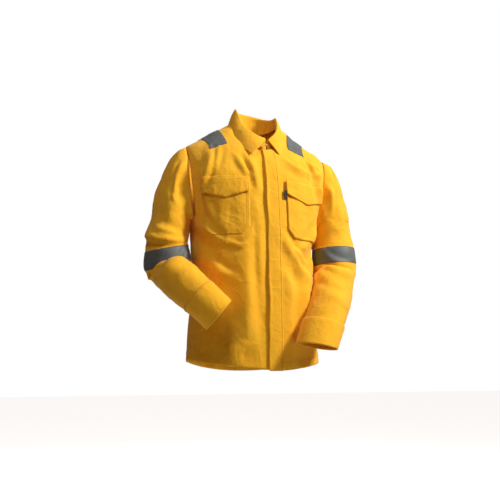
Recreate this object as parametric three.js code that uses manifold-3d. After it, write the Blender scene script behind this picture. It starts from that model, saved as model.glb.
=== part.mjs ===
// Hi-vis cotton work jacket with reflective tapes, as worn, with both forearms held forward.
// Millimetres, +Z up, the front faces -Y and the wearer's left is +X.
// The origin is in the middle of the neck, at the height of the shoulder seat.
import * as THREE from 'three';
import Module from 'manifold-3d';
import { mergeVertices } from 'three/addons/utils/BufferGeometryUtils.js';

const wasm = await Module();
wasm.setup();
const V = (x, y, z) => new THREE.Vector3(x, y, z);

// ---------------------------------------------------------------- driving dimensions
const CLOTH = 1.5; // thickness of a cloth solid
const SIDES_ROUND = 16; // facets round a sleeve
const GAP = 0.4; // air left between neighbouring solids
const WIDEST_Y = -12; // depth at which the body is widest

// Level sections of the body: height, middle, half-width, front depth, back depth, squareness.
const SECTIONS = [
  [-712, -8, 190, -157, 118, 2.05],
  [-600, -10, 181, -161, 110, 2.05],
  [-500, -11, 175, -161, 106, 2.05],
  [-400, -10, 177, -158, 108, 2.1],
  [-300, -7.5, 187, -151, 114, 2.3],
  [-220, -3, 200, -143, 116, 2.5],
  [-160, 0, 210, -132, 113, 2.6],
  [-110, 0, 220, -115, 106, 2.3],
  [-75, 0, 216, -95, 96, 2.0],
  [-40, 0, 172, -72, 82, 1.9],
  [0, 0, 112, -55, 70, 2.0],
  [28, 0, 72, -40, 60, 2.0],
];
const COLUMN = Math.PI / 18; // every solid of the body shares these columns and rows
const ROWS = [-660, -600, -500, -400, -300, -220, -160, -105, -75, -40, 0, 28];
const TOP = 28;
const SEAM = 0.004; // half-width of the air at a side seam, in radians
const HEM_FRONT = -708;
const HEM_SIDE = -682;
const YOKE_SEAM = -105;
const NECK = { x: 68, y: 80, middleY: -23 }; // half-axes of the neck hole
const COLLAR = {
  start: 0.12, // angles of the two front ends, just left of the middle
  end: 0.2,
  standFront: 44,
  standBack: 55,
  sideDip: 9, // the stand is lower over the shoulders
  leafPoint: 62,
  leafBack: 50,
};
const POCKET = { inner: 54, outer: 186, top: -196, length: 158, chamfer: 22 }; // along the cloth
const FLAP = { top: -188, side: 43, point: 64 };
const PLACKET = { freeEdge: -14, seam: 26, underLeft: 22 };
const BUTTON = { radius: 6, depth: 1.6, x: 4, first: -150, pitch: 95, count: 6 };
const TAPE = 50; // width of the reflective tapes
const CUFF = 74;
const BALL = 80; // radius of the sleeve head at the shoulder
const ELBOW_BALL = 58;
const BODY_CLEARANCE = 1.2; // air between a sleeve and the body
const NECK_FRONT = -96; // top of the plackets
const SHOULDER_TAPE = { inner: 96, frontY: -82, backY: 74 };
const UPPER_RADII = [74, 70, 63, 62]; // upper sleeve, from the shoulder down past the elbow
const LOWER_RADII = [55, 54, 53, 51, 49]; // lower sleeve, from the elbow to the cuff
const CUFF_RADII = [50, 49.5, 48, 46];
const TAPE_RADII = { outer: [66.5, 65.5], inner: [64.6, 64] };
const PEN_POCKET = { top: 34, bottom: 142, topRadius: 75.2, bottomRadius: 71.4, turn: 0.72 };

// Where each layer that lies on the body starts and ends, measured out from the body's surface.
const LAYERS = {
  underStrip: [-5.4, -3.9],
  fly: [-0.5, 2.8],
  pocket: [-1, 2.8],
  tab: [-0.6, 2.8],
  loopPatch: [3.5, 4],
  hookPatch: [4.5, 5],
  flap: [5.9, 5.9 + CLOTH],
  tape: [-2.5, 4.4],
};

const ARMS = {
  right: {
    shoulder: V(-185, -8, -160),
    elbow: V(-252, -38, -428),
    middle: V(-216, -138, -495),
    wrist: V(-144, -186, -573),
  },
  left: {
    shoulder: V(185, -8, -160),
    elbow: V(237, -42, -420),
    middle: V(183, -124, -524),
    wrist: V(111, -190, -646),
  },
};

// ---------------------------------------------------------------- materials
const cloth = (color) => new THREE.MeshStandardMaterial({ color, roughness: 0.85, metalness: 0 });
const YELLOW = 0xf2b01e;
const DARK_YELLOW = 0xd9950f;
const TAPE_GREY = 0x6c7677;
const BUTTON_YELLOW = 0xe0a528;
const BROWN = 0x3a2318;
const LINING_GREY = 0x8a8f90;
const LABEL_WHITE = 0xe8e4da;

// ---------------------------------------------------------------- geometry tools
function lerp(a, b, t) {
  return a + (b - a) * t;
}

function section(z) {
  const last = SECTIONS.length - 1;
  let i = 0;
  while (i < last - 1 && SECTIONS[i + 1][0] < z) i += 1;
  const t = (z - SECTIONS[i][0]) / (SECTIONS[i + 1][0] - SECTIONS[i][0]);
  return SECTIONS[i].map((value, k) => lerp(value, SECTIONS[i + 1][k], t));
}

// A point of the body at height z: angle 0 is the front middle, +90 the wearer's left side.
function bodyAt(angle, z, grow = 0) {
  const [, middle, half, front, back, n] = section(z);
  const s = Math.sin(angle);
  const c = Math.cos(angle);
  const reach = c > 0 ? front - WIDEST_Y - grow : back - WIDEST_Y + grow;
  return V(
    middle + (half + grow) * Math.sign(s) * Math.abs(s) ** (2 / n),
    WIDEST_Y + reach * Math.abs(c) ** (2 / n),
    z,
  );
}

// A point of the body's front at a given x and height.
function frontAt(x, z) {
  const [, middle, half, front, , n] = section(z);
  const t = Math.min(1, Math.abs((x - middle) / half));
  return V(x, WIDEST_Y + (front - WIDEST_Y) * (1 - t ** n) ** (1 / n), z);
}

// The angle at which the body's front passes a given x.
function edgeAngle(x, z) {
  const [, middle, half, , , n] = section(z);
  const t = (x - middle) / half;
  return Math.asin(Math.sign(t) * Math.abs(t) ** (n / 2));
}

// A point of the body's front at a distance along the cloth from the middle line.
function frontAlong(distance, z) {
  const steps = 60;
  const side = (Math.sign(distance) * Math.PI) / 2;
  const start = edgeAngle(0, z);
  let last = bodyAt(start, z);
  let left = Math.abs(distance);
  for (let i = 1; i <= steps; i += 1) {
    const next = bodyAt(lerp(start, side, i / steps), z);
    const length = next.distanceTo(last);
    if (length >= left) return last.lerp(next, left / length);
    left -= length;
    last = next;
  }
  return last;
}

function hemAt(angle) {
  return lerp(HEM_FRONT, HEM_SIDE, Math.sin(angle) ** 2);
}

// The height of the body's top surface over a point of the plan.
function heightOver(x, y) {
  let z = TOP;
  while (z > -200) {
    const [, middle, half, front, back, n] = section(z);
    const reach = (y < WIDEST_Y ? front : back) - WIDEST_Y;
    const inside = Math.abs((x - middle) / half) ** n + Math.abs((y - WIDEST_Y) / reach) ** n;
    if (inside <= 1) return z;
    z -= 0.5;
  }
  return z;
}

// A closed sheet between two offsets of a surface point(u, v). sideOut picks the outward side.
function sheet(point, columns, rows, inner, outer, sideOut = 1) {
  const layers = [[], []];
  const step = 1e-3;
  for (let j = 0; j <= rows; j += 1) {
    for (let i = 0; i <= columns; i += 1) {
      const u = i / columns;
      const v = j / rows;
      const p = point(u, v);
      const u0 = Math.max(0, u - step);
      const v0 = Math.max(0, v - step);
      const du = point(Math.min(1, u + step), v).sub(point(u0, v));
      const dv = point(u, Math.min(1, v + step)).sub(point(u, v0));
      const normal = du.cross(dv).normalize().multiplyScalar(sideOut);
      layers[0].push(p.clone().addScaledVector(normal, inner));
      layers[1].push(p.clone().addScaledVector(normal, outer));
    }
  }
  const points = [...layers[0], ...layers[1]];
  const top = layers[0].length;
  const at = (i, j) => j * (columns + 1) + i;
  const faces = [];
  const quad = (a, b, c, d) => faces.push(a, b, c, a, c, d);
  for (let j = 0; j < rows; j += 1) {
    for (let i = 0; i < columns; i += 1) {
      quad(top + at(i, j), top + at(i + 1, j), top + at(i + 1, j + 1), top + at(i, j + 1));
      quad(at(i, j), at(i, j + 1), at(i + 1, j + 1), at(i + 1, j));
    }
  }
  for (let i = 0; i < columns; i += 1) {
    quad(at(i, 0), at(i + 1, 0), top + at(i + 1, 0), top + at(i, 0));
    quad(at(i + 1, rows), at(i, rows), top + at(i, rows), top + at(i + 1, rows));
  }
  for (let j = 0; j < rows; j += 1) {
    quad(at(0, j + 1), at(0, j), top + at(0, j), top + at(0, j + 1));
    quad(at(columns, j), at(columns, j + 1), top + at(columns, j + 1), top + at(columns, j));
  }
  return solid(points, faces);
}

// A closed body from its points and triangles, turned so that its faces point outwards.
function solid(points, faces) {
  let volume = 0;
  for (let i = 0; i < faces.length; i += 3) {
    const [a, b, c] = [points[faces[i]], points[faces[i + 1]], points[faces[i + 2]]];
    volume += a.dot(b.clone().cross(c));
  }
  if (volume < 0) faces.reverse();
  const geometry = new THREE.BufferGeometry();
  const numbers = points.flatMap((p) => p.toArray());
  geometry.setAttribute('position', new THREE.Float32BufferAttribute(numbers, 3));
  geometry.setIndex(faces);
  return geometry;
}

// A round tube, closed at both ends, through a list of centres with a radius at each.
function tube(centres, radii, sides) {
  const points = [];
  const faces = [];
  let across = V(0, 1, 0);
  centres.forEach((centre, k) => {
    const before = centres[Math.max(0, k - 1)];
    const after = centres[Math.min(centres.length - 1, k + 1)];
    const along = after.clone().sub(before).normalize();
    across = across.addScaledVector(along, -across.dot(along)).normalize();
    const other = along.clone().cross(across);
    for (let i = 0; i < sides; i += 1) {
      const a = (2 * Math.PI * i) / sides;
      points.push(centre.clone()
        .addScaledVector(across, radii[k] * Math.cos(a))
        .addScaledVector(other, radii[k] * Math.sin(a)));
    }
  });
  const last = (centres.length - 1) * sides;
  for (let k = 0; k < last; k += sides) {
    for (let i = 0; i < sides; i += 1) {
      const j = (i + 1) % sides;
      faces.push(k + i, k + j, k + sides + j, k + i, k + sides + j, k + sides + i);
    }
  }
  for (let i = 1; i < sides - 1; i += 1) {
    faces.push(0, i + 1, i, last, last + i, last + i + 1);
  }
  return solid(points, faces);
}

function ball(centre, radius, around = SIDES_ROUND, up = 12) {
  return new THREE.SphereGeometry(radius, around, up).translate(...centre.toArray());
}

function toManifold(source) {
  const bare = source.clone();
  bare.deleteAttribute('normal');
  bare.deleteAttribute('uv');
  const merged = mergeVertices(bare, 1e-4);
  return new wasm.Manifold(new wasm.Mesh({
    numProp: 3,
    vertProperties: new Float32Array(merged.attributes.position.array),
    triVerts: new Uint32Array(merged.index.array),
  }));
}

// One boolean: the first geometry, joined with the adds and cut by the cuts.
function shape(first, adds, cuts) {
  let body = toManifold(first);
  for (const piece of adds) body = body.add(toManifold(piece));
  for (const piece of cuts) body = body.subtract(toManifold(piece));
  const pieces = body.decompose().sort((a, b) => b.volume() - a.volume());
  const mesh = pieces[0].getMesh();
  const geometry = new THREE.BufferGeometry();
  geometry.setAttribute('position', new THREE.BufferAttribute(mesh.vertProperties, 3));
  geometry.setIndex(new THREE.BufferAttribute(mesh.triVerts, 1));
  return geometry;
}

const coat = new THREE.Group();

function add(name, geometry, color) {
  const mesh = new THREE.Mesh(geometry, cloth(color));
  mesh.name = name;
  coat.add(mesh);
  return mesh;
}

const SIDES = [['right', -1], ['left', 1]];

// ---------------------------------------------------------------- body panels
const neckHole = tube([V(0, NECK.middleY, -200), V(0, NECK.middleY, 120)], [NECK.y, NECK.y], 32);
neckHole.scale(NECK.x / NECK.y, 1, 1);
const armholes = SIDES.map(([side]) => ball(ARMS[side].shoulder, BALL + 3, 24, 16));

function pick(list, t) {
  const place = t * (list.length - 1);
  const k = Math.min(list.length - 2, Math.floor(place));
  return lerp(list[k], list[k + 1], place - k);
}

// A body panel over lists of angles and heights. With hem, its first row is the hem line;
// with edge, its first column is the upright line at that x.
function panel(angles, heights, { hem = false, edge = null, sign = 1 }) {
  const columns = angles.length - 1;
  const rows = heights.length - 1;
  const surface = (u, v) => {
    const even = pick(angles, u);
    const z = hem && v * rows < 1 ? lerp(hemAt(even), heights[1], v * rows) : pick(heights, v);
    const angle = edge !== null && u * columns < 1
      ? lerp(edgeAngle(edge, z), angles[1], u * columns)
      : even;
    return bodyAt(angle, z);
  };
  return sheet(surface, columns, rows, -CLOTH, 0, sign);
}

const backAngles = Array.from({ length: 19 }, (_, k) => Math.PI / 2 + k * COLUMN);
backAngles[0] += SEAM;
backAngles[18] -= SEAM;
const lowRows = ROWS.filter((z) => z < YOKE_SEAM);
const highRows = ROWS.filter((z) => z >= YOKE_SEAM);
const backLow = panel(backAngles, [HEM_FRONT, ...lowRows, YOKE_SEAM - GAP], { hem: true });
add('back_panel', shape(backLow, [], armholes), YELLOW);
add('back_yoke', shape(panel(backAngles, highRows, {}), [], [neckHole, ...armholes]), YELLOW);

for (const [side, sign] of SIDES) {
  const angles = Array.from({ length: 10 }, (_, k) => sign * k * COLUMN);
  angles[9] -= sign * SEAM;
  const edge = side === 'right' ? PLACKET.freeEdge - 2 : PLACKET.seam;
  const front = panel(angles, [HEM_FRONT, ...ROWS], { hem: true, edge, sign });
  add(`${side}_front`, shape(front, [], [neckHole, ...armholes]), YELLOW);
}

// The whole body as one closed solid, grown a little: what lies on the body is cut by it.
function bodyCore(grow) {
  const sides = 36;
  const points = [];
  const faces = [];
  const heights = [SECTIONS[0][0], ...ROWS];
  for (const z of heights) {
    for (let i = 0; i < sides; i += 1) {
      const point = bodyAt(i * COLUMN, z, grow);
      if (z === TOP) point.z += grow;
      points.push(point);
    }
  }
  const last = (heights.length - 1) * sides;
  for (let k = 0; k < last; k += sides) {
    for (let i = 0; i < sides; i += 1) {
      const j = (i + 1) % sides;
      faces.push(k + i, k + j, k + sides + j, k + i, k + sides + j, k + sides + i);
    }
  }
  for (let i = 1; i < sides - 1; i += 1) {
    faces.push(0, i + 1, i, last, last + i, last + i + 1);
  }
  return solid(points, faces);
}

const underLayer = bodyCore(1);
const onBody = (geometry) => shape(geometry, [], [underLayer]);

// ---------------------------------------------------------------- front closure
function strip(xFrom, xTo, zBottom, layer) {
  const surface = (u, v) => frontAt(lerp(xFrom, xTo, u), lerp(zBottom, NECK_FRONT, v));
  return sheet(surface, 2, 12, ...layer);
}

const flyStrip = strip(PLACKET.freeEdge, PLACKET.seam - 5 * GAP, HEM_FRONT, LAYERS.fly);
add('fly_placket', onBody(flyStrip), YELLOW);
const underStrip = strip(
  PLACKET.freeEdge - 1.4,
  PLACKET.underLeft,
  HEM_FRONT + 3,
  LAYERS.underStrip,
);
add('button_placket', underStrip, DARK_YELLOW);

// A flat round button whose axis leans with the surface under it.
function button(centre, normal, radius) {
  const disc = new THREE.CylinderGeometry(radius, radius, BUTTON.depth, 12);
  const axis = normal.clone().normalize();
  disc.applyQuaternion(new THREE.Quaternion().setFromUnitVectors(V(0, 1, 0), axis));
  return disc.translate(...centre.toArray());
}

for (let i = 0; i < BUTTON.count; i += 1) {
  const z = BUTTON.first - BUTTON.pitch * i;
  const lean = frontAt(BUTTON.x, z + 10).sub(frontAt(BUTTON.x, z - 10));
  const normal = V(0, -lean.z, lean.y).normalize();
  const centre = frontAt(BUTTON.x, z).addScaledVector(normal, -2.2);
  add(`front_button_${i + 1}`, button(centre, normal, BUTTON.radius), BUTTON_YELLOW);
}

// ---------------------------------------------------------------- collar
// A turn round the neck: t = 0 is the wearer's right front end, 0.5 the back, 1 the left end.
function neckPoint(t, grow) {
  const a = lerp(COLLAR.start, COLLAR.end - 2 * Math.PI, t);
  return V(
    (NECK.x + grow) * Math.sin(a),
    NECK.middleY - (NECK.y + grow) * Math.cos(a),
    0,
  );
}

// Height of the neck seam, of the fold at the top of the stand, and of the leaf's free edge.
function seamHeight(t) {
  const p = neckPoint(t, 0);
  return heightOver(p.x, p.y);
}

function foldHeight(t) {
  const dip = COLLAR.sideDip * Math.sin(2 * Math.PI * t) ** 2;
  return seamHeight(t) + lerp(COLLAR.standFront, COLLAR.standBack, Math.sin(Math.PI * t)) - dip;
}

function standPoint(t, v) {
  const p = neckPoint(t, lerp(-3, -9, v));
  p.z = lerp(seamHeight(t) + 3, foldHeight(t) - 2, v);
  return p;
}

add('collar_stand', sheet(standPoint, 28, 2, -CLOTH / 2, CLOTH / 2), YELLOW);

function leafPoint(t, v) {
  const ends = Math.abs(2 * t - 1) ** 3;
  const drop = lerp(COLLAR.leafBack, COLLAR.leafPoint, ends) * v;
  const spread = lerp(-5, lerp(17, 15, ends), v ** 0.8);
  const q = lerp(t, 0.5 + (t - 0.5) * 0.785, v * ends);
  const p = neckPoint(q, spread);
  p.y -= 22 * ends * v;
  p.z = foldHeight(t) - drop;
  return p;
}

const leafSheet = sheet(leafPoint, 28, 4, -CLOTH / 2, CLOTH / 2, -1);
add('collar_leaf', shape(leafSheet, [], [bodyCore(1.5)]), YELLOW);

const standButton = V(1, -106, -74);
add('stand_button', button(standButton, V(0, -1, 0.35), 5.5), BUTTON_YELLOW);

// ---------------------------------------------------------------- chest pockets
for (const [side, sign] of SIDES) {
  const width = POCKET.outer - POCKET.inner;
  const bag = (u, v) => {
    const cut = POCKET.chamfer * Math.max(0, (v - 0.857) / 0.143);
    const distance = lerp(POCKET.inner + cut, POCKET.outer - 2 - cut, u);
    return frontAlong(sign * distance, POCKET.top - v * POCKET.length);
  };
  add(`${side}_pocket_bag`, onBody(sheet(bag, 6, 7, ...LAYERS.pocket, -sign)), YELLOW);

  const flap = (u, v) => {
    const drop = lerp(FLAP.point, FLAP.side, Math.abs(2 * u - 1));
    return frontAlong(sign * (POCKET.inner + width * u), FLAP.top - drop * v);
  };
  add(`${side}_pocket_flap`, sheet(flap, 6, 3, ...LAYERS.flap, -sign), YELLOW);

  // Hook-and-loop closure: the loop patch on the bag, the hook patch under the flap.
  const middle = POCKET.inner + width / 2;
  const patch = (u, v) => frontAlong(sign * (middle + 22 * (u - 0.5)), FLAP.top - 28 - 18 * v);
  add(`${side}_pocket_loop_patch`, sheet(patch, 2, 1, ...LAYERS.loopPatch, -sign), LINING_GREY);
  add(`${side}_flap_hook_patch`, sheet(patch, 2, 1, ...LAYERS.hookPatch, -sign), LINING_GREY);
}

const TAB = { from: POCKET.inner - 6.5, to: POCKET.inner - 1.5, top: FLAP.top - 33, length: 22 };
const tab = (u, v) => frontAlong(lerp(TAB.from, TAB.to, u), TAB.top - TAB.length * v);
add('pocket_tab', onBody(sheet(tab, 1, 2, ...LAYERS.tab, -1)), BROWN);

// ---------------------------------------------------------------- shoulder tapes
// Each tape runs over the shoulder, from the front of the chest to the shoulder blade.
for (const [side, sign] of SIDES) {
  const tape = (u, v) => {
    const x = SHOULDER_TAPE.inner + TAPE * u;
    const y = lerp(SHOULDER_TAPE.frontY, SHOULDER_TAPE.backY, v);
    return V(sign * x, y, heightOver(x, y));
  };
  add(`${side}_shoulder_tape`, onBody(sheet(tape, 3, 10, ...LAYERS.tape, -sign)), TAPE_GREY);
}

// ---------------------------------------------------------------- sleeves
// A bounded cone that keeps what lies within an angle of a direction from its apex.
function cone(apex, direction, halfAngle, length) {
  const radius = length * Math.tan(halfAngle);
  const body = new THREE.ConeGeometry(radius, length, 24);
  body.translate(0, -length / 2, 0);
  body.applyQuaternion(new THREE.Quaternion().setFromUnitVectors(V(0, -1, 0), direction));
  return body.translate(...apex.toArray());
}

const bodySolid = bodyCore(BODY_CLEARANCE);

// The forearm's centre line bends gently through its middle point.
function forearm(arm) {
  const bend = arm.middle.clone().multiplyScalar(2)
    .addScaledVector(arm.elbow, -0.5).addScaledVector(arm.wrist, -0.5);
  return new THREE.QuadraticBezierCurve3(arm.elbow, bend, arm.wrist);
}

for (const [side, sign] of SIDES) {
  const arm = ARMS[side];
  const upper = new THREE.LineCurve3(arm.shoulder, arm.elbow);
  const lower = forearm(arm);
  const lowerStart = lower.getTangent(0);
  const upperAlong = upper.getTangent(0);

  // Upper sleeve: a round head that turns in the armhole, and a tube down past the elbow.
  const upperT = [0.02, 0.4, 0.75, 1.2];
  const onUpper = (t) => upper.getPoint(0).lerp(arm.elbow, t);
  const centres = upperT.map(onUpper);
  const outside = tube(centres, UPPER_RADII, SIDES_ROUND);
  const inside = tube(centres, UPPER_RADII.map((r) => r - CLOTH), SIDES_ROUND);
  const trimmedTube = shape(outside, [], [bodySolid]);
  const inward = V(-sign, 0, 0.25).normalize();
  const behind = cone(arm.elbow, lowerStart.clone().negate(), 1.29, 140);
  const elbowRoom = shape(ball(arm.elbow, 96), [], [behind]);
  const belowElbow = [-28, 40].map((d) => centres[3].clone().addScaledVector(upperAlong, d));
  add(`${side}_upper_sleeve`, shape(trimmedTube, [ball(arm.shoulder, BALL)], [
    ball(arm.shoulder, BALL - CLOTH),
    inside,
    cone(arm.shoulder, inward, 0.9, 140),
    elbowRoom,
    tube(belowElbow, [90, 90], 12),
  ]), YELLOW);

  // Reflective tape round the upper sleeve, its lower edge just above the elbow.
  const length = upper.getLength();
  const tapeMiddle = 1 - 40 / length;
  const tapeEnds = [tapeMiddle - TAPE / 2 / length, tapeMiddle + TAPE / 2 / length];
  const tapeCentres = tapeEnds.map(onUpper);
  const coreCentres = [tapeEnds[0] - 0.05, tapeEnds[1] + 0.05].map(onUpper);
  add(`${side}_elbow_tape`, shape(tube(tapeCentres, TAPE_RADII.outer, SIDES_ROUND), [], [
    tube(coreCentres, TAPE_RADII.inner, SIDES_ROUND),
    elbowRoom,
    bodySolid,
  ]), TAPE_GREY);

  // Lower sleeve: a round end that turns inside the upper sleeve, and a tapering tube.
  const total = lower.getLength();
  const cuffStart = 1 - CUFF / total;
  const lowerT = [0.04, 0.22, 0.42, cuffStart - 0.12, cuffStart - 0.035];
  const line = lowerT.map((t) => lower.getPointAt(t));
  const hollow = [...line, lower.getPointAt(cuffStart + 0.02)];
  const hollowR = [...LOWER_RADII, LOWER_RADII[4]].map((r) => r - CLOTH);
  const lowerTube = tube(line, LOWER_RADII, SIDES_ROUND);
  add(`${side}_lower_sleeve`, shape(lowerTube, [ball(arm.elbow, ELBOW_BALL)], [
    ball(arm.elbow, ELBOW_BALL - CLOTH),
    tube(hollow, hollowR, SIDES_ROUND),
    cone(arm.elbow, upperAlong.clone().negate(), 0.75, 140),
  ]), YELLOW);

  const cuffT = [cuffStart + 0.004, cuffStart + 0.08, lerp(cuffStart, 1, 0.5), 1];
  const cuffLine = cuffT.map((t) => lower.getPointAt(t));
  const beyond = lower.getPointAt(1).addScaledVector(lower.getTangentAt(1), 5);
  const before = lower.getPointAt(cuffStart - 0.02);
  const mouth = [CUFF_RADII[0], ...CUFF_RADII, CUFF_RADII[3]].map((r) => r - CLOTH);
  add(`${side}_cuff`, shape(tube(cuffLine, CUFF_RADII, SIDES_ROUND), [], [
    tube([before, ...cuffLine, beyond], mouth, SIDES_ROUND),
  ]), YELLOW);

  // Cuff button and sleeve placket on the outer back of the sleeve.
  const along = lower.getTangentAt(1);
  const out = V(sign, 0.9, -0.3);
  out.addScaledVector(along, -out.dot(along)).normalize();
  const cuffMiddle = lower.getPointAt(lerp(cuffStart, 1, 0.5));
  const buttonAt = cuffMiddle.clone().addScaledVector(out, CUFF_RADII[2] + 2.6);
  add(`${side}_cuff_button`, button(buttonAt, out, BUTTON.radius), BUTTON_YELLOW);
  const slitRadius = 58;
  const slit = (u, v) => {
    const t = lerp(cuffStart - 0.01, cuffStart - 0.36, v);
    const axis = lower.getTangentAt(t);
    const around = out.clone().addScaledVector(axis, -out.dot(axis)).normalize();
    const across = axis.clone().cross(around);
    const a = (u - 0.5) * 0.42;
    return lower.getPointAt(t)
      .addScaledVector(around, slitRadius * Math.cos(a))
      .addScaledVector(across, slitRadius * Math.sin(a));
  };
  add(`${side}_sleeve_placket`, sheet(slit, 2, 4, 0, 1.2, 1), YELLOW);
}

// ---------------------------------------------------------------- pen pocket, left upper sleeve
{
  const arm = ARMS.left;
  const along = arm.elbow.clone().sub(arm.shoulder).normalize();
  const out = V(0.78, -0.62, 0);
  out.addScaledVector(along, -out.dot(along)).normalize();
  const across = along.clone().cross(out);
  const pen = (u, v) => {
    const a = (u - 0.5) * PEN_POCKET.turn;
    const distance = lerp(PEN_POCKET.top, PEN_POCKET.bottom, v);
    const radius = lerp(PEN_POCKET.topRadius, PEN_POCKET.bottomRadius, v);
    return arm.shoulder.clone()
      .addScaledVector(along, distance)
      .addScaledVector(out, radius * Math.cos(a))
      .addScaledVector(across, radius * Math.sin(a));
  };
  add('pen_pocket', sheet(pen, 3, 3, 0, CLOTH, 1), YELLOW);
}

// ---------------------------------------------------------------- hanger loop and neck label
{
  const start = neckPoint(0.5, -18);
  const loop = new THREE.CatmullRomCurve3([
    V(-22, start.y + 7, 22),
    V(-16, start.y - 1, 4),
    V(0, start.y - 4, -2),
    V(16, start.y - 1, 4),
    V(22, start.y + 7, 22),
  ]);
  const outline = new THREE.Shape();
  outline.moveTo(-0.6, -3);
  outline.lineTo(0.6, -3);
  outline.lineTo(0.6, 3);
  outline.lineTo(-0.6, 3);
  add('hanger_loop', new THREE.ExtrudeGeometry(outline, { steps: 16, extrudePath: loop }), YELLOW);
  const label = new THREE.BoxGeometry(46, 0.8, 26);
  add('neck_label', label.translate(0, start.y + 3, -18), LABEL_WHITE);
}

export default coat;
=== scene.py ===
# A hi-vis cotton work jacket with reflective tapes, shown as it is worn, with both forearms
# held forward. Shapes are worked out in millimetres and made in metres.
import math

import bpy
import numpy as np
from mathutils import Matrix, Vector, noise


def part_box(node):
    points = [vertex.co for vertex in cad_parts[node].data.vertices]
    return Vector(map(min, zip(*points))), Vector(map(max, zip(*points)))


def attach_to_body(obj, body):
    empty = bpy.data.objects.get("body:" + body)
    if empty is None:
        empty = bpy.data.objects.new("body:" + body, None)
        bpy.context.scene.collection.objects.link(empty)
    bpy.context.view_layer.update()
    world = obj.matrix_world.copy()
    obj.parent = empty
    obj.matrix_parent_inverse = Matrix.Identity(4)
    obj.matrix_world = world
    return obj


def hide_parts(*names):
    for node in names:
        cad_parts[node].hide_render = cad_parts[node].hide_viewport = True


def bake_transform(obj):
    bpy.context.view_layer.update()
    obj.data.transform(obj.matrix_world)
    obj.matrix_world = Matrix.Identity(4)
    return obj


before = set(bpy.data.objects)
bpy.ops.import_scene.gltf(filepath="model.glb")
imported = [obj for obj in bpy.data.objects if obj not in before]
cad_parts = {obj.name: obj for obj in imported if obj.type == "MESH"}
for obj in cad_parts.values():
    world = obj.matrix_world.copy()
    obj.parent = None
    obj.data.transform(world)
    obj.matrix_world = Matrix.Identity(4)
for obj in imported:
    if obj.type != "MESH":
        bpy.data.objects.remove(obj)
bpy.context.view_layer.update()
MM = 0.001

# ------------------------------------------------------------------ camera
# A short telephoto on a tripod at hem height, a little to the wearer's right.
AZIMUTH, ELEVATION, DISTANCE = math.radians(-16.06), math.radians(-12.6), 1.5
AIM = Vector((-0.0286, -0.060, -0.3754))
lens = bpy.data.cameras.new("camera")
lens.lens = 38.27
lens.sensor_width = 36.0
camera = bpy.data.objects.new("camera", lens)
bpy.context.scene.collection.objects.link(camera)
backward = Vector((math.sin(AZIMUTH) * math.cos(ELEVATION),
                   -math.cos(AZIMUTH) * math.cos(ELEVATION), math.sin(ELEVATION)))
camera.location = AIM + DISTANCE * backward
camera.rotation_euler = (math.pi / 2 - ELEVATION, 0, AZIMUTH)
bpy.context.scene.camera = camera


# ------------------------------------------------------------------ floor and light
# A pale studio floor at the height where the wearer would stand, in a white room. A small soft
# box in front, on the wearer's left, is the main light; a weaker one stands high on the right and
# a larger one behind. The floor glows for the camera only, so it does not light the cloth.
bpy.context.scene.view_settings.view_transform = "Standard"


def linear(hex_colour):
    channels = [int(hex_colour[i:i + 2], 16) / 255 for i in (1, 3, 5)]
    return [c / 12.92 if c <= 0.04045 else ((c + 0.055) / 1.055) ** 2.4 for c in channels] + [1.0]


def node(tree, kind, links=(), **settings):
    """Add a node, set its sockets (by name) and properties, and link (socket, output) pairs."""
    made = tree.nodes.new(kind)
    for name, value in settings.items():
        if name in made.inputs.keys():
            made.inputs[name].default_value = value
        else:
            setattr(made, name, value)
    for socket, output in links:
        tree.links.new(output, made.inputs[socket])
    return made


def maths(tree, operation, source, *values):
    """A math node on the first output of source, with constants for its other inputs."""
    made = node(tree, "ShaderNodeMath", [(0, source.outputs[0])], operation=operation)
    for k, value in enumerate(values, 1):
        made.inputs[k].default_value = value
    return made


def new_material(name):
    material = bpy.data.materials.new(name)
    material.use_nodes = True
    tree = material.node_tree
    tree.nodes.clear()
    return material, tree


FLOOR_Z = -1.42
floor_mesh = bpy.data.meshes.new("floor")
half = 14.0
floor_mesh.from_pydata([(-half, -half, FLOOR_Z), (half, -half, FLOOR_Z), (half, half, FLOOR_Z),
                        (-half, half, FLOOR_Z)], [], [(0, 1, 2, 3)])
floor = bpy.data.objects.new("floor", floor_mesh)
bpy.context.scene.collection.objects.link(floor)
floor_paint, tree = new_material("pale_floor_paint")
diffuse = node(tree, "ShaderNodeBsdfDiffuse", Color=linear("#DCDCDC"))
seen_directly = node(tree, "ShaderNodeLightPath")
glow = node(tree, "ShaderNodeEmission", [("Strength", seen_directly.outputs["Is Camera Ray"])],
            Color=linear("#F4F4F4"))
both = node(tree, "ShaderNodeAddShader", [(0, diffuse.outputs[0]), (1, glow.outputs[0])])
node(tree, "ShaderNodeOutputMaterial", [("Surface", both.outputs[0])])
floor_mesh.materials.append(floor_paint)

world = bpy.data.worlds.new("white_room")
bpy.context.scene.world = world
world.use_nodes = True
tree = world.node_tree
tree.nodes.clear()
path = node(tree, "ShaderNodeLightPath")
seen = node(tree, "ShaderNodeBackground", Color=linear("#FFFFFF"), Strength=1.0)
fill = node(tree, "ShaderNodeBackground", Color=linear("#FFB070"), Strength=0.075)
mix = node(tree, "ShaderNodeMixShader",
           [(0, path.outputs["Is Camera Ray"]), (1, fill.outputs[0]), (2, seen.outputs[0])])
node(tree, "ShaderNodeOutputWorld", [("Surface", mix.outputs[0])])


def soft_box(name, place, aim, size, power, tint):
    data = bpy.data.lights.new(name, "AREA")
    data.shape = "RECTANGLE"
    data.size, data.size_y = size
    data.energy = power
    data.color = linear(tint)[:3]
    light = bpy.data.objects.new(name, data)
    bpy.context.scene.collection.objects.link(light)
    light.location = place
    light.rotation_euler = (Vector(aim) - Vector(place)).to_track_quat("-Z", "Y").to_euler()


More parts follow.
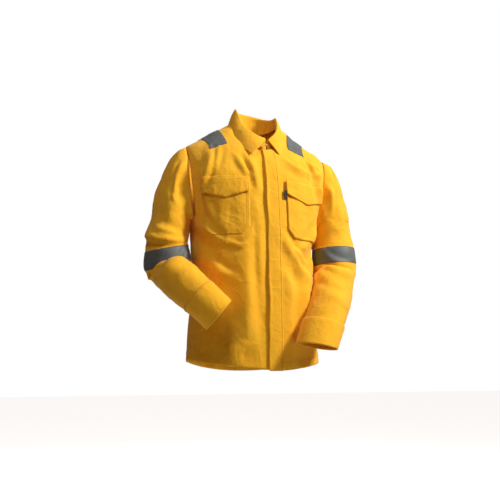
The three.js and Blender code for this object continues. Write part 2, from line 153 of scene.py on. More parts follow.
soft_box("key_light", (1.5, -1.2, 1.0), (0, -0.05, -0.3), (0.4, 0.45), 68, "#FFFAF2")
soft_box("top_light", (-0.7, -1.3, 1.9), (0, 0, -0.2), (0.8, 0.8), 20, "#FFFFFF")
soft_box("back_light", (0.4, 2.2, 1.4), (0, 0, -0.3), (1.0, 1.0), 34, "#FFFFFF")

# ------------------------------------------------------------------ body cloth
# The body is cotton twill cut as a back, a yoke and two fronts. It is drawn as level sections:
# height, middle, half-width, front depth, back depth, squareness.
SECTIONS = np.array([
    [-712, -8, 190, -157, 118, 2.05],
    [-600, -10, 181, -161, 110, 2.05],
    [-500, -11, 175, -161, 106, 2.05],
    [-400, -10, 177, -158, 108, 2.1],
    [-300, -7.5, 187, -151, 114, 2.3],
    [-220, -3, 200, -143, 116, 2.5],
    [-160, 0, 210, -132, 113, 2.6],
    [-110, 0, 220, -115, 106, 2.3],
    [-75, 0, 216, -95, 96, 2.0],
    [-40, 0, 172, -72, 82, 1.9],
    [0, 0, 112, -55, 70, 2.0],
    [28, 0, 72, -40, 60, 2.0],
], float)
WIDEST_Y = -12.0
HEM_FRONT, HEM_SIDE, TOP, YOKE_SEAM = -708.0, -682.0, 28.0, -105.0
NECK_X, NECK_Y, NECK_MIDDLE = 68.0, 80.0, -23.0
FREE_EDGE, FLY_SEAM, UNDER_EDGE, CLOSURE_X = -6.0, 31.0, 22.0, 5.0
SHOULDER_X, SHOULDER_Z, ARMPIT_Z = 213.0, -68.0, -290.0


def hermite(knots, values, t):
    """A smooth curve through values at uneven knots."""
    slope = np.gradient(values, knots, axis=0)
    k = np.clip(np.searchsorted(knots, t) - 1, 0, len(knots) - 2)
    step = (knots[k + 1] - knots[k])
    x = np.clip((t - knots[k]) / step, 0, 1)
    shape = (-1,) + (1,) * (values.ndim - 1)
    x, step = x.reshape(shape), step.reshape(shape)
    return ((2 * x**3 - 3 * x**2 + 1) * values[k] + (x**3 - 2 * x**2 + x) * step * slope[k]
            + (3 * x**2 - 2 * x**3) * values[k + 1] + (x**3 - x**2) * step * slope[k + 1])


def body(angle, z):
    """Points of the body: angle 0 is the front middle, +90 degrees the wearer's left side."""
    angle, z = np.broadcast_arrays(np.asarray(angle, float), np.asarray(z, float))
    flat = hermite(SECTIONS[:, 0], SECTIONS[:, 1:], z.ravel())
    middle, half_width, front, back, n = flat.T
    s, c = np.sin(angle.ravel()), np.cos(angle.ravel())
    reach = np.where(c > 0, front - WIDEST_Y, back - WIDEST_Y)
    x = middle + half_width * np.sign(s) * np.abs(s) ** (2 / n)
    y = WIDEST_Y + reach * np.abs(c) ** (2 / n)
    return np.stack([x, y, z.ravel()], -1).reshape(angle.shape + (3,))


def normals(surface, a, b, da, db, sign=1):
    """Unit normals of surface(a, b) from small steps along both ways."""
    along = surface(a + da, b) - surface(a - da, b)
    up = surface(a, b + db) - surface(a, b - db)
    n = np.cross(along, up) * sign
    return n / np.maximum(np.linalg.norm(n, axis=-1, keepdims=True), 1e-9)


def edge_angle(x, z):
    z = np.asarray(z, float)
    middle, half_width, _, _, n = hermite(SECTIONS[:, 0], SECTIONS[:, 1:], z.ravel()).T
    t = (np.broadcast_to(x, z.shape).ravel() - middle) / half_width
    t = np.clip(t, -1, 1)
    return np.arcsin(np.sign(t) * np.abs(t) ** (n / 2)).reshape(z.shape)


def arc_angle(distance, z):
    """The angle that lies a distance along the cloth from the front middle line."""
    distance, z = np.broadcast_arrays(np.asarray(distance, float), np.asarray(z, float))
    fan = np.linspace(-math.pi / 2, math.pi / 2, 181)
    points = body(fan[None, :], z.ravel()[:, None])
    arc = np.concatenate([np.zeros((len(points), 1)),
                          np.cumsum(np.linalg.norm(np.diff(points, axis=1), axis=-1), axis=1)], 1)
    start = edge_angle(0.0, z.ravel())
    found = [np.interp(np.interp(s, fan, row) + d, row, fan)
             for row, s, d in zip(arc, start, distance.ravel())]
    return np.array(found).reshape(z.shape)


def run_along(points):
    """The distance along a line from its first point to each of its points."""
    return np.concatenate([[0], np.cumsum(np.linalg.norm(np.diff(points, axis=0), axis=1))])


def smooth(x):
    x = np.clip(x, 0, 1)
    return x * x * (3 - 2 * x)


def crease(q, line, width, height, lean=0.0):
    """One fold in cloth: a crest with a hollow on each side, along a smooth line of points.
    lean makes one flank steeper, and the fold fades towards both of its ends."""
    line = np.array(line, float)
    knots = np.linspace(0, 1, len(line))
    line = hermite(knots, line, np.linspace(0, 1, 4 * len(line))) if len(line) > 2 else line
    lengths = np.linalg.norm(np.diff(line, axis=0), axis=1)
    best = np.full(len(q), 1e9)
    along, side, done = np.zeros(len(q)), np.ones(len(q)), 0.0
    for a, b, length in zip(line[:-1], line[1:], lengths):
        way = (b - a) / length
        t = np.clip((q - a) @ way, 0, length)
        off = q - (a + t[:, None] * way)
        distance = np.linalg.norm(off, axis=1)
        near = distance < best
        best = np.where(near, distance, best)
        along = np.where(near, (done + t) / lengths.sum(), along)
        side = np.where(near, np.sign(way[0] * off[:, 1] - way[1] * off[:, 0]), side)
        done += length
    x = side * best / width
    x = x * (1 + lean * np.sign(x))
    fade = np.sin(math.pi * np.clip(along, 0.04, 0.96)) ** 0.6
    profile = np.exp(-x**2) - 0.4 * np.exp(-((x - 1.8) ** 2)) - 0.4 * np.exp(-((x + 1.8) ** 2))
    return height * fade * profile


def rumple(points, size, seed=0.0):
    """Soft irregular unevenness of worn cloth, from -1 to 1, with a grain of about size."""
    shift = Vector((seed, 2.7 * seed, 1.3))
    return np.array([noise.noise(Vector(p) / size + shift) for p in points.reshape(-1, 3)]
                    ).reshape(points.shape[:-1])


# Folds of the front, as (points in x and z, width, height, lean).
FRONT_FOLDS = [
    ([(-150, -95), (-158, -150), (-176, -215)], 9, 5, 0.3),
    ([(-128, -88), (-138, -130), (-150, -172)], 8, 3, 0.2),
    ([(-58, -122), (-40, -165), (-28, -230)], 10, 4, -0.2),
    ([(-84, -118), (-64, -160), (-50, -182)], 8, 3, 0.2),
    ([(-186, -290), (-150, -350), (-120, -372)], 11, 4.5, 0.2),
    ([(-52, -372), (-66, -440), (-60, -540), (-70, -640)], 26, 9, 0.2),
    ([(-22, -330), (-26, -430), (-22, -560)], 11, 4, 0.0),
    ([(-120, -385), (-128, -470), (-112, -590)], 24, 6, -0.3),
    ([(-170, -400), (-130, -450), (-96, -470)], 13, 4, 0.3),
    ([(34, -345), (70, -385), (120, -420)], 11, 4.5, 0.3),
    ([(36, -372), (80, -420), (130, -462)], 13, 5, 0.3),
    ([(160, -300), (120, -360), (84, -392)], 12, 5, -0.3),
    ([(48, -430), (56, -520), (50, -640)], 20, 5, 0.2),
    ([(150, -420), (110, -520), (96, -640)], 22, 6, 0.2),
    ([(60, -118), (96, -140), (150, -150)], 9, 3, 0.3),
    ([(178, -120), (168, -180), (172, -240)], 9, 5, 0.2),
    ([(150, -100), (160, -140), (182, -160)], 8, 3.5, 0.2),
    ([(-100, -640), (-98, -700)], 20, 3, 0.0),
    ([(132, -96), (150, -120), (158, -150)], 5, 2.4, 0.3),
    ([(146, -88), (166, -112), (178, -146)], 5, 2.4, 0.3),
    ([(120, -104), (134, -134), (140, -160)], 5, 2.0, 0.3),
    ([(-110, -372), (-80, -384), (-56, -372)], 6, 2.2, 0.3),
    ([(-150, -312), (-164, -260), (-172, -232)], 6, 2.4, 0.3),
]
BACK_FOLDS = [
    ([(-120, -190), (-60, -230), (0, -240), (60, -230), (120, -190)], 16, 3, 0.3),
    ([(-150, -260), (-90, -330), (-20, -360)], 18, 5, 0.3),
    ([(150, -260), (90, -330), (20, -370)], 18, 5, -0.3),
    ([(-160, -330), (-110, -400), (-70, -520)], 20, 6, 0.2),
    ([(160, -330), (110, -400), (80, -540)], 20, 6, -0.2),
    ([(-30, -400), (-24, -520), (-36, -660)], 22, 5, 0.0),
    ([(40, -420), (46, -540), (38, -670)], 20, 4, 0.0),
    ([(-120, -560), (-116, -640), (-124, -700)], 18, 4, 0.1),
    ([(120, -560), (124, -640), (116, -700)], 18, 4, 0.1),
]


def armhole_side(points, side):
    """Distance inside the body from the armhole's slanting plane; below zero is cut away."""
    bottom_x = 186.0 if side == "right" else 176.0
    sign = -1 if side == "right" else 1
    x = sign * points[..., 0]
    z = points[..., 2]
    plane = SHOULDER_X + (bottom_x - SHOULDER_X) * (SHOULDER_Z - z) / (SHOULDER_Z - ARMPIT_Z)
    return np.maximum(plane - x, (ARMPIT_Z - z) * 0.6)


def neck_side(points):
    """Above zero outside the neck hole."""
    radius = np.hypot(points[..., 0] / NECK_X, (points[..., 1] - NECK_MIDDLE) / NECK_Y)
    return (radius - 1) * 70


def body_relief(points):
    """How far the folds lift the body's cloth at each point."""
    flat = points.reshape(-1, 3)
    q = flat[:, [0, 2]]
    front = flat[:, 1] < WIDEST_Y
    lift = np.zeros(len(flat))
    for folds, chosen in ((FRONT_FOLDS, front), (BACK_FOLDS, ~front)):
        for line, width, height, lean in folds:
            lift[chosen] += 2.0 * crease(q[chosen], line, width, height, lean)
    lift += 4.0 * rumple(flat, 85) + 2.2 * rumple(flat * [1, 1, 0.6], 34, 3.1) + 0.5 * rumple(flat, 13, 7.7)
    calm = smooth((np.minimum(armhole_side(flat, "right"), armhole_side(flat, "left")) + 2) / 30)
    calm *= smooth((neck_side(flat) + 2) / 26)
    calm *= 0.35 + 0.65 * smooth((np.abs(flat[:, 0] - CLOSURE_X) - 16) / 26)
    return (lift * calm).reshape(points.shape[:-1])


def on_body(angle, z, lift=0.0):
    """The folded cloth of the body, with anything that lies on it lifted further."""
    points = body(angle, z)
    out = normals(body, angle, z, 0.004, 1.0)
    away = out[..., :1] * points[..., :1] + out[..., 1:2] * (points[..., 1:2] - WIDEST_Y)
    out = out * np.where(away < 0, -1, 1)
    return points + out * (body_relief(points) + lift)[..., None]


def grid_mesh(name, points, thickness=0.0, closed=False, fabric=None, cut=None):
    """A cloth mesh from a grid of points in mm. Vertices where cut is below zero are trimmed to
    the cut line; a thickness turns the sheet into a closed one, inwards."""
    rows, columns = points.shape[:2]
    index = np.arange(rows * columns).reshape(rows, columns)
    flat = points.reshape(-1, 3).copy()
    wrap = columns if closed else columns - 1
    right = np.roll(index, -1, axis=1)
    quads = np.stack([index[:-1, :wrap], right[:-1, :wrap], right[1:, :wrap], index[1:, :wrap]], -1)
    quads = quads.reshape(-1, 4)
    if cut is not None:
        value = cut.reshape(-1)
        quads = quads[(value[quads] > 0).any(axis=1)]
        target, weight = np.zeros_like(flat), np.zeros(len(flat))
        for a, b in ((0, 1), (1, 2), (2, 3), (3, 0)):
            for i, j in ((quads[:, a], quads[:, b]), (quads[:, b], quads[:, a])):
                over = (value[i] <= 0) & (value[j] > 0)
                p, q = i[over], j[over]
                t = (value[p] / (value[p] - value[q]))[:, None]
                np.add.at(target, p, flat[p] + t * (flat[q] - flat[p]))
                np.add.at(weight, p, 1)
        moved = weight > 0
        flat[moved] = target[moved] / weight[moved][:, None]
        quads = quads[((value[quads] > 0) | moved[quads]).all(axis=1)]
    used = np.unique(quads)
    renumber = np.full(len(flat), -1)
    renumber[used] = np.arange(len(used))
    mesh = bpy.data.meshes.new(name)
    mesh.from_pydata((flat[used] * MM).tolist(), [], renumber[quads].tolist())
    across = np.linalg.norm(np.diff(points, axis=1), axis=-1).mean(axis=0)
    along = np.linalg.norm(np.diff(points, axis=0), axis=-1).mean(axis=1)
    u = np.concatenate([[0], np.cumsum(across)]) * MM
    v = np.concatenate([[0], np.cumsum(along)]) * MM
    place = np.stack(np.meshgrid(u, v), -1).reshape(-1, 2)[used]
    layer = mesh.uv_layers.new(name="cloth")
    corners = np.array([loop.vertex_index for loop in mesh.loops])
    layer.data.foreach_set("uv", place[corners].astype(np.float32).ravel())
    made = bpy.data.objects.new(name, mesh)
    bpy.context.scene.collection.objects.link(made)
    for polygon in mesh.polygons:
        polygon.use_smooth = True
    if thickness:
        thicken(made, thickness)
    if fabric:
        made.data.materials.clear()
        made.data.materials.append(fabric)
    return made


def attach(piece, rides):
    if isinstance(rides, str):
        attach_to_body(piece, rides)
    else:
        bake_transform(piece)


def assign(piece, rides, stands_for):
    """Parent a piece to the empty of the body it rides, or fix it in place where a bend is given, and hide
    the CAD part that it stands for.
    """
    attach(piece, rides)
    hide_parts(stands_for)


def thicken(piece, thickness):
    solid = piece.modifiers.new("cloth_thickness", "SOLIDIFY")
    solid.thickness = thickness * MM
    solid.offset = -1
    solid.use_even_offset = False
    piece.data = bpy.data.meshes.new_from_object(
        piece.evaluated_get(bpy.context.evaluated_depsgraph_get()))
    piece.modifiers.clear()


# Cotton twill: matt and soft, with diagonal ribs. The real ribs are 0.8 mm apart; they are drawn
# at 2.4 mm so that they show. Piece-dyed cloth is a little uneven, in random patches and specks.
def twill(name, base, shade):
    material, tree = new_material(name)
    uv = node(tree, "ShaderNodeUVMap", uv_map="cloth")
    turn = node(tree, "ShaderNodeMapping", [("Vector", uv.outputs[0])], Rotation=(0, 0, math.radians(58)))
    ribs = node(tree, "ShaderNodeTexWave", [("Vector", turn.outputs[0])], wave_type="BANDS",
                bands_direction="X", Scale=1 / (0.0024 * 2 * math.pi) * 2, Distortion=0.4)
    place = node(tree, "ShaderNodeTexCoord")
    patches = node(tree, "ShaderNodeTexNoise", [("Vector", place.outputs["Object"])], Scale=14,
                   Detail=4, Roughness=0.6)
    slub = node(tree, "ShaderNodeTexNoise", [("Vector", uv.outputs[0])], Scale=420, Detail=2)
    tint = node(tree, "ShaderNodeMix", [("Factor", patches.outputs["Fac"])], data_type="RGBA",
                A=linear(shade), B=linear(base))
    speck = node(tree, "ShaderNodeMix", [("A", tint.outputs["Result"]), ("B", slub.outputs["Fac"])],
                 data_type="RGBA", blend_type="MULTIPLY", Factor=0.16)
    soft = node(tree, "ShaderNodeTexNoise", [("Vector", place.outputs["Object"])], Scale=26, Detail=4,
                Roughness=0.45, Distortion=0.6)
    off = maths(tree, "SUBTRACT", soft, 0.5)
    ridge = maths(tree, "MULTIPLY_ADD", maths(tree, "ABSOLUTE", off), -5.0, 1.0)
    crisp = maths(tree, "POWER", maths(tree, "MAXIMUM", ridge, 0.0), 2.0)
    dents = node(tree, "ShaderNodeBump", [("Height", crisp.outputs[0])], Strength=0.45,
                 Distance=0.0016)
    weave = node(tree, "ShaderNodeBump", [("Height", ribs.outputs["Fac"]), ("Normal", dents.outputs[0])],
                 Strength=0.35, Distance=0.0003)
    shader = node(tree, "ShaderNodeBsdfPrincipled",
                  [("Base Color", speck.outputs["Result"]), ("Normal", weave.outputs[0])],
                  Roughness=0.86)
    shader.inputs["Sheen Weight"].default_value = 0.18
    shader.inputs["Sheen Roughness"].default_value = 0.45
    shader.inputs["Specular IOR Level"].default_value = 0.25
    node(tree, "ShaderNodeOutputMaterial", [("Surface", shader.outputs[0])])
    return material


hi_vis_twill = twill("hi_vis_cotton_twill", "#FFC62A", "#F9AF12")
CLOTH = 1.0

back_angles = np.linspace(math.pi / 2, 3 * math.pi / 2, 110)
side_z = lambda a: HEM_FRONT + (HEM_SIDE - HEM_FRONT) * np.sin(a) ** 2


def body_panel(name, stands_for, angles, z_low, z_high, rows, lift=0.0, start_x=None):
    v = np.linspace(0, 1, rows)[:, None]
    z = z_low + (z_high - z_low) * v
    a = np.broadcast_to(angles, (rows, len(angles))).copy()
    z = np.broadcast_to(z, a.shape)
    if start_x is not None:
        first = edge_angle(start_x, z[:, :1])
        last = a[:, -1:]
        a = first + (last - first) * np.linspace(0, 1, len(angles))[None, :]
    lifted = lift(a, z) if callable(lift) else lift
    points = on_body(a, z, lifted)
    plain = body(a, z)
    cut = np.minimum(np.minimum(armhole_side(plain, "right"), armhole_side(plain, "left")), neck_side(plain))
    piece = grid_mesh(name, points, CLOTH, cut=cut, fabric=hi_vis_twill)
    assign(piece, "coat_body", stands_for)
    return piece


back = body_panel("back", "back_panel", back_angles, side_z(back_angles)[None, :], YOKE_SEAM, 120)
yoke = body_panel("yoke", "back_yoke", back_angles, YOKE_SEAM - 4, TOP, 44, lift=1.0)


def closure_lift(a, z, level):
    """Near the middle the fronts lie one on the other: level is the lift at the edge."""
    x = body(a, z)[..., 0]
    return level * (1 - smooth((np.abs(x - CLOSURE_X) - 20) / 26))


front_angles = np.linspace(0, -math.pi / 2, 74)
hem = side_z(front_angles)[None, :]
right_front = body_panel("right_front_cloth", "right_front", front_angles, hem + 2, TOP, 140,
                         lift=lambda a, z: closure_lift(a, z, -3.2), start_x=UNDER_EDGE)
left_front = body_panel("left_front_cloth", "left_front", -front_angles, hem, TOP, 140,
                        lift=lambda a, z: closure_lift(a, z, 0.6), start_x=FREE_EDGE + 2)

# ------------------------------------------------------------------ fly and button plackets
# The fly is a folded strip sewn to the left front; it hides the buttons. The button placket is
# the doubled edge of the right front that lies under it.
def front_strip(name, x_from, x_to, z_top, z_bottom, lift, columns, thickness):
    u = np.linspace(0, 1, columns)[None, :]
    z = np.linspace(z_bottom, z_top, 200)[:, None]
    x = x_from + (x_to - x_from) * u + 0 * z
    wavy = 0.9 * np.sin(z / 31.0) + 0.7 * np.sin(z / 17.0 + 1)
    x = x + wavy * (1 - u) * (name == "fly")
    z = np.broadcast_to(z, x.shape)
    angle = edge_angle(x, z)
    plain = body(angle, z)
    piece = grid_mesh(name, on_body(angle, z, lift(u, z)), thickness, cut=neck_side(plain) - 1.0,
                      fabric=hi_vis_twill)
    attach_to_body(piece, "coat_body")
    return piece


def groove(distance, width=1.3, depth=0.8):
    """The small valley that a line of stitches pulls into the cloth."""
    return -depth * np.exp(-(distance / width) ** 2)


FLY_STITCH = 34.5


def fly_lift(u, z):
    x = 39 * u
    edge = 0.8 * smooth(x / 3)
    curl = 2.4 * np.exp(-(x / 7) ** 2) * (0.6 + 0.6 * np.sin(z / 47.0))
    return 2.2 + edge + curl + groove(x - FLY_STITCH) - 2.2 * smooth((x - 37.5) / 2.5) + 0 * z


fly = front_strip("fly", FREE_EDGE, FLY_SEAM + 1, -70, HEM_FRONT, fly_lift, 26, 1.6)
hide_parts("fly_placket")
under = front_strip("button_strip", FREE_EDGE - 1, UNDER_EDGE + 2, -76, HEM_FRONT + 3,
                    lambda u, z: -4.6 + 0 * u * z, 20, 1.2)
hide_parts("button_placket")

# ------------------------------------------------------------------ chest pockets
# Two patch pockets with cut-off lower corners, sewn down round three sides with double stitching.
# The folded-in edge is a firm rim, and the middle is a little full.
POCKET_INNER, POCKET_OUTER, POCKET_TOP, POCKET_LENGTH, CHAMFER = 54.0, 186.0, -196.0, 158.0, 22.0


def pocket_grid(side, columns=44, rows=52):
    sign = -1 if side == "right" else 1
    u, v = np.meshgrid(np.linspace(0, 1, columns), np.linspace(0, 1, rows))
    chamfer = CHAMFER * np.clip((v * POCKET_LENGTH - (POCKET_LENGTH - CHAMFER)) / CHAMFER, 0, 1)
    distance = POCKET_INNER + chamfer + (POCKET_OUTER - POCKET_INNER - 2 * chamfer) * u
    z = POCKET_TOP - v * POCKET_LENGTH
    return sign, distance, z, u, v


for side in ("right", "left"):
    sign, distance, z, u, v = pocket_grid(side)
    angle = arc_angle(sign * distance, z)
    from_edge = np.minimum(distance - POCKET_INNER, POCKET_OUTER - distance)
    from_edge = np.minimum(from_edge, POCKET_LENGTH * (1 - v))
    corner = ((distance - POCKET_INNER) + POCKET_LENGTH * (1 - v) - CHAMFER) / math.sqrt(2)
    other = ((POCKET_OUTER - distance) + POCKET_LENGTH * (1 - v) - CHAMFER) / math.sqrt(2)
    from_edge = np.minimum(from_edge, np.minimum(corner, other))
    full = 2.6 * smooth(from_edge / 34) * (0.55 + 0.45 * np.sin(math.pi * v))
    lift = 1.7 + 0.7 * smooth(from_edge / 1.5) + groove(from_edge - 2.6, 0.9, 0.7) \
        + groove(from_edge - 9, 0.9, 0.7) + full
    points = on_body(angle, z, lift)
    piece = grid_mesh(side + "_pocket", points, 1.6, fabric=hi_vis_twill)
    assign(piece, "coat_body", side + "_pocket_bag")

# ------------------------------------------------------------------ pocket flaps
# Pointed flaps of two layers, turned out and stitched round, held at the top by two rows.
FLAP_TOP, FLAP_SIDE, FLAP_POINT, POCKET_MIDDLE = -188.0, 43.0, 64.0, 120.0


def flap_bend(side, sign):
    """Bodies and points for a bend at a flap's stitched top edge; pieces given them stay fixed in place."""
    z = np.array([FLAP_TOP])
    x, y, _ = on_body(arc_angle(np.array([sign * POCKET_MIDDLE]), z), z, 4)[0] * MM
    return "coat_body", side + "_flap", (x, y, (FLAP_TOP - 3) * MM), (x, y, (FLAP_TOP - 16) * MM)


for side in ("right", "left"):
    sign = -1 if side == "right" else 1
    u, v = np.meshgrid(np.linspace(0, 1, 45), np.linspace(0, 1, 24))
    drop = FLAP_POINT + (FLAP_SIDE - FLAP_POINT) * np.abs(2 * u - 1)
    distance = POCKET_INNER - 1 + (POCKET_OUTER - POCKET_INNER + 2) * u
    z = FLAP_TOP - drop * v
    angle = arc_angle(sign * distance, z)
    from_edge = np.minimum(np.minimum(u, 1 - u) * 134, drop * (1 - v) * 0.95)
    lift = 4.2 + 1.8 * smooth(v * drop / 9) + 2.2 * v ** 2 + groove(from_edge - 3, 0.9, 0.6)
    lift += groove(v * drop - 3, 0.9, 0.8) + groove(v * drop - 9, 0.9, 0.7)
    lift += 1.2 * np.sin(9 * u + (2 if side == "left" else 0)) * v ** 2
    points = on_body(angle, z, lift)
    piece = grid_mesh(side + "_flap_cloth", points, 2.0, fabric=hi_vis_twill)
    assign(piece, flap_bend(side, sign), side + "_pocket_flap")

# ------------------------------------------------------------------ sleeves
# Each sleeve is one tube of twill set into the armhole and shaped over the elbow. Each ring has
# an outer and an inner point, seen from the front, a depth, and a half-width front to back.
ARMS = {
    "right": dict(sign=-1, upper=[
        ((-213, -68), (-187, -290), -8, 66), ((-232, -80), (-187, -293), -9, 73),
        ((-251, -110), (-188, -297), -10, 75), ((-270, -162), (-189, -304), -12, 74),
        ((-289, -228), (-192, -316), -16, 70), ((-303, -292), (-196, -332), -21, 66),
        ((-313, -345), (-200, -350), -27, 63), ((-319, -399), (-201, -368), -33, 61),
        ((-315, -446), (-193, -410), -40, 59), ((-307, -461), (-189, -424), -43, 57)],
        fore=[((-243, -102, -466), 54), ((-215, -143, -502), 51), ((-180, -172, -538), 47),
              ((-144, -186, -573), 45)],
        mouth=(0.76, -0.08, -0.64), lean=0.13),
    "left": dict(sign=1, upper=[
        ((213, -68), (177, -290), -8, 66), ((234, -77), (177, -293), -9, 73),
        ((254, -111), (178, -297), -10, 76), ((271, -167), (178, -304), -12, 75),
        ((283, -224), (178, -315), -16, 71), ((291, -275), (178, -328), -20, 67),
        ((297, -318), (178, -343), -26, 63), ((300, -350), (177, -357), -33, 62),
        ((302, -399), (173, -409), -40, 61), ((300, -414), (172, -424), -43, 60)],
        fore=[((214, -80, -460), 58), ((190, -111, -511), 56), ((166, -140, -553), 54),
              ((138, -166, -599), 52), ((112, -188, -646), 50)],
        mouth=(-0.16, 0.02, -0.98), lean=0.0),
}
ROUND = 90
TURN = np.linspace(-math.pi, math.pi, ROUND + 1)[:-1]


def inside_body(p):
    middle, half_width, front, back, n = hermite(SECTIONS[:, 0], SECTIONS[:, 1:], p[:, 2]).T
    reach = np.where(p[:, 1] < WIDEST_Y, front, back) - WIDEST_Y
    return (np.abs((p[:, 0] - middle) / half_width) ** n
            + np.abs((p[:, 1] - WIDEST_Y) / reach) ** n) < 1


def over_body(x, y, lowest=-200.0):
    """The height of the top of the body's surface over a place."""
    low, high = np.full(x.shape, lowest), np.full(x.shape, TOP)
    for _ in range(26):
        mid = (low + high) / 2
        inner = inside_body(np.stack([x, y, mid], -1).reshape(-1, 3)).reshape(x.shape)
        low, high = np.where(inner, mid, low), np.where(inner, high, mid)
    return low


def sleeve_rings(arm):
    """Centres, outward vectors and front vectors of evenly spaced rings from armhole to wrist."""
    centres, outs, widths, ways = [], [], [], []
    for (ox, oz), (ix, iz), y, w in arm["upper"]:
        centres.append(((ox + ix) / 2, y, (oz + iz) / 2))
        outs.append(((ox - ix) / 2, 0, (oz - iz) / 2))
        widths.append(w)
    last = np.array(outs[-1], float)
    path = [np.array(c, float) for c, _ in arm["fore"]]
    before = np.array(centres[-1], float)
    for k, (centre, radius) in enumerate(arm["fore"]):
        after = path[min(k + 1, len(path) - 1)]
        way = after - (path[k - 1] if k else before)
        way /= np.linalg.norm(way)
        tilt = smooth(k / (len(path) - 1)) if k else 0.0
        way = way * (1 - tilt) + np.array(arm["mouth"]) * tilt
        way /= np.linalg.norm(way)
        last = last - way * (last @ way)
        last *= radius / np.linalg.norm(last)
        centres.append(centre)
        outs.append(tuple(last))
        widths.append(radius)
        ways.append(way)
    steps = np.gradient(np.array(centres, float), axis=0)
    steps[:, 1] = arm["lean"] * np.abs(steps[:, 2])
    ways = np.vstack([steps[:len(arm["upper"])], ways])
    fronts = np.cross(ways, outs) * arm["sign"]
    fronts *= np.array(widths, float)[:, None] / np.linalg.norm(fronts, axis=1, keepdims=True)
    table = np.hstack([np.array(centres, float), np.array(outs, float), fronts])
    knots = np.concatenate([[0], np.cumsum(np.linalg.norm(np.diff(table[:, :3], axis=0), axis=1) + 4)])
    fine = hermite(knots, table, np.linspace(0, knots[-1], 900))
    run = run_along(fine[:, :3])
    elbow = np.interp(knots[len(arm["upper"]) - 1], np.linspace(0, knots[-1], 900), run)
    return fine, run, elbow


def ring_points(arm, lengths, turn):
    """Points of the bare sleeve at lengths down its middle line and turns round it (0 is the
    outer side, +90 degrees the front)."""
    fine, run, _ = arm["rings"]
    table = np.stack([np.interp(lengths, run, column) for column in fine.T], -1)
    centre, out, front = table[..., :3], table[..., 3:6], table[..., 6:]
    ring = out * np.cos(turn)[..., None] + front * np.sin(turn)[..., None]
    hole = smooth(1 - lengths / 95)
    scale = np.interp(turn, arm["turns"], arm["hole"], period=2 * math.pi)
    return centre + ring * (1 + (scale - 1) * hole)[..., None]


for side, arm in ARMS.items():
    arm["rings"] = sleeve_rings(arm)
    (ox, oz), (ix, iz), y, w = arm["upper"][0]
    centre = np.array([(ox + ix) / 2, y, (oz + iz) / 2])
    ring = np.array([(ox - ix) / 2, 0, (oz - iz) / 2]) * np.cos(TURN)[:, None] \
        + np.array([0, -w, 0]) * np.sin(TURN)[:, None]
    low, high = np.full(ROUND, 0.2), np.full(ROUND, 1.8)
    for _ in range(30):
        mid = (low + high) / 2
        inner = inside_body(centre + ring * mid[:, None])
        low, high = np.where(inner, mid, low), np.where(inner, high, mid)
    arm["turns"], arm["hole"] = TURN, np.minimum(low, 1.0 / np.maximum(-np.cos(TURN), 1e-3)
                                                 * np.where(np.cos(TURN) < 0, 1, 1e9)) + 0.012

# Folds of the sleeves, as (points in turn degrees and mm from the elbow, width, height, lean).
SLEEVE_FOLDS = {
    "right": [
        ([(60, -330), (62, -270), (78, -200)], 9, 4, 0.3),
        ([(-20, -100), (30, -92), (75, -84), (120, -80)], 10, 6, 0.5),
        ([(20, -128), (60, -112), (110, -108)], 9, 3, 0.3),
        ([(150, -60), (120, -20), (80, 0)], 10, 5, 0.2),
        ([(160, -40), (130, 10), (100, 40)], 9, 5, 0.2),
        ([(165, -10), (140, 30), (118, 62)], 8, 4, 0.2),
        ([(-20, 6), (30, 18), (80, 18)], 10, 4, 0.0),
        ([(0, 40), (50, 48), (95, 30)], 11, 5, 0.2),
        ([(20, 80), (70, 92), (120, 80)], 12, 3.5, 0.2),
        ([(-60, -20), (-80, 40), (-70, 100)], 14, 4, 0.0),
        ([(-120, -60), (-90, -20), (-60, 0)], 12, 4, 0.2),
        ([(-20, -280), (0, -200), (-10, -130)], 20, 4, 0.2),
        ([(-110, -300), (-100, -220), (-120, -140)], 18, 4, 0.2),
    ],
    "left": [
        ([(60, -340), (70, -300), (110, -250)], 9, 4.5, 0.3),
        ([(30, -345), (44, -300), (70, -262)], 9, 4, 0.3),
        ([(100, -290), (84, -240), (96, -190)], 9, 3, 0.2),
        ([(150, -60), (110, -20), (60, -6)], 10, 3, 0.2),
        ([(160, -30), (120, 16), (80, 40)], 10, 2.6, 0.2),
        ([(40, 60), (90, 74), (140, 50)], 13, 2.0, 0.2),
        ([(60, 120), (100, 116), (140, 90)], 13, 1.6, 0.2),
        ([(10, 168), (60, 160), (110, 168)], 12, 1.4, 0.2),
        ([(-60, -20), (-80, 40), (-70, 110)], 14, 4, 0.0),
        ([(-120, -60), (-90, -20), (-60, 0)], 12, 4, 0.2),
        ([(-110, -300), (-100, -220), (-120, -140)], 18, 4, 0.2),
        ([(10, -250), (0, -180), (16, -120)], 18, 3, 0.2),
    ],
}
# The cuff's width, and where the tape begins and ends, measured down the sleeve from the elbow.
CUFF, TAPE_FROM, TAPE_TO = 74.0, -65.0, -15.0


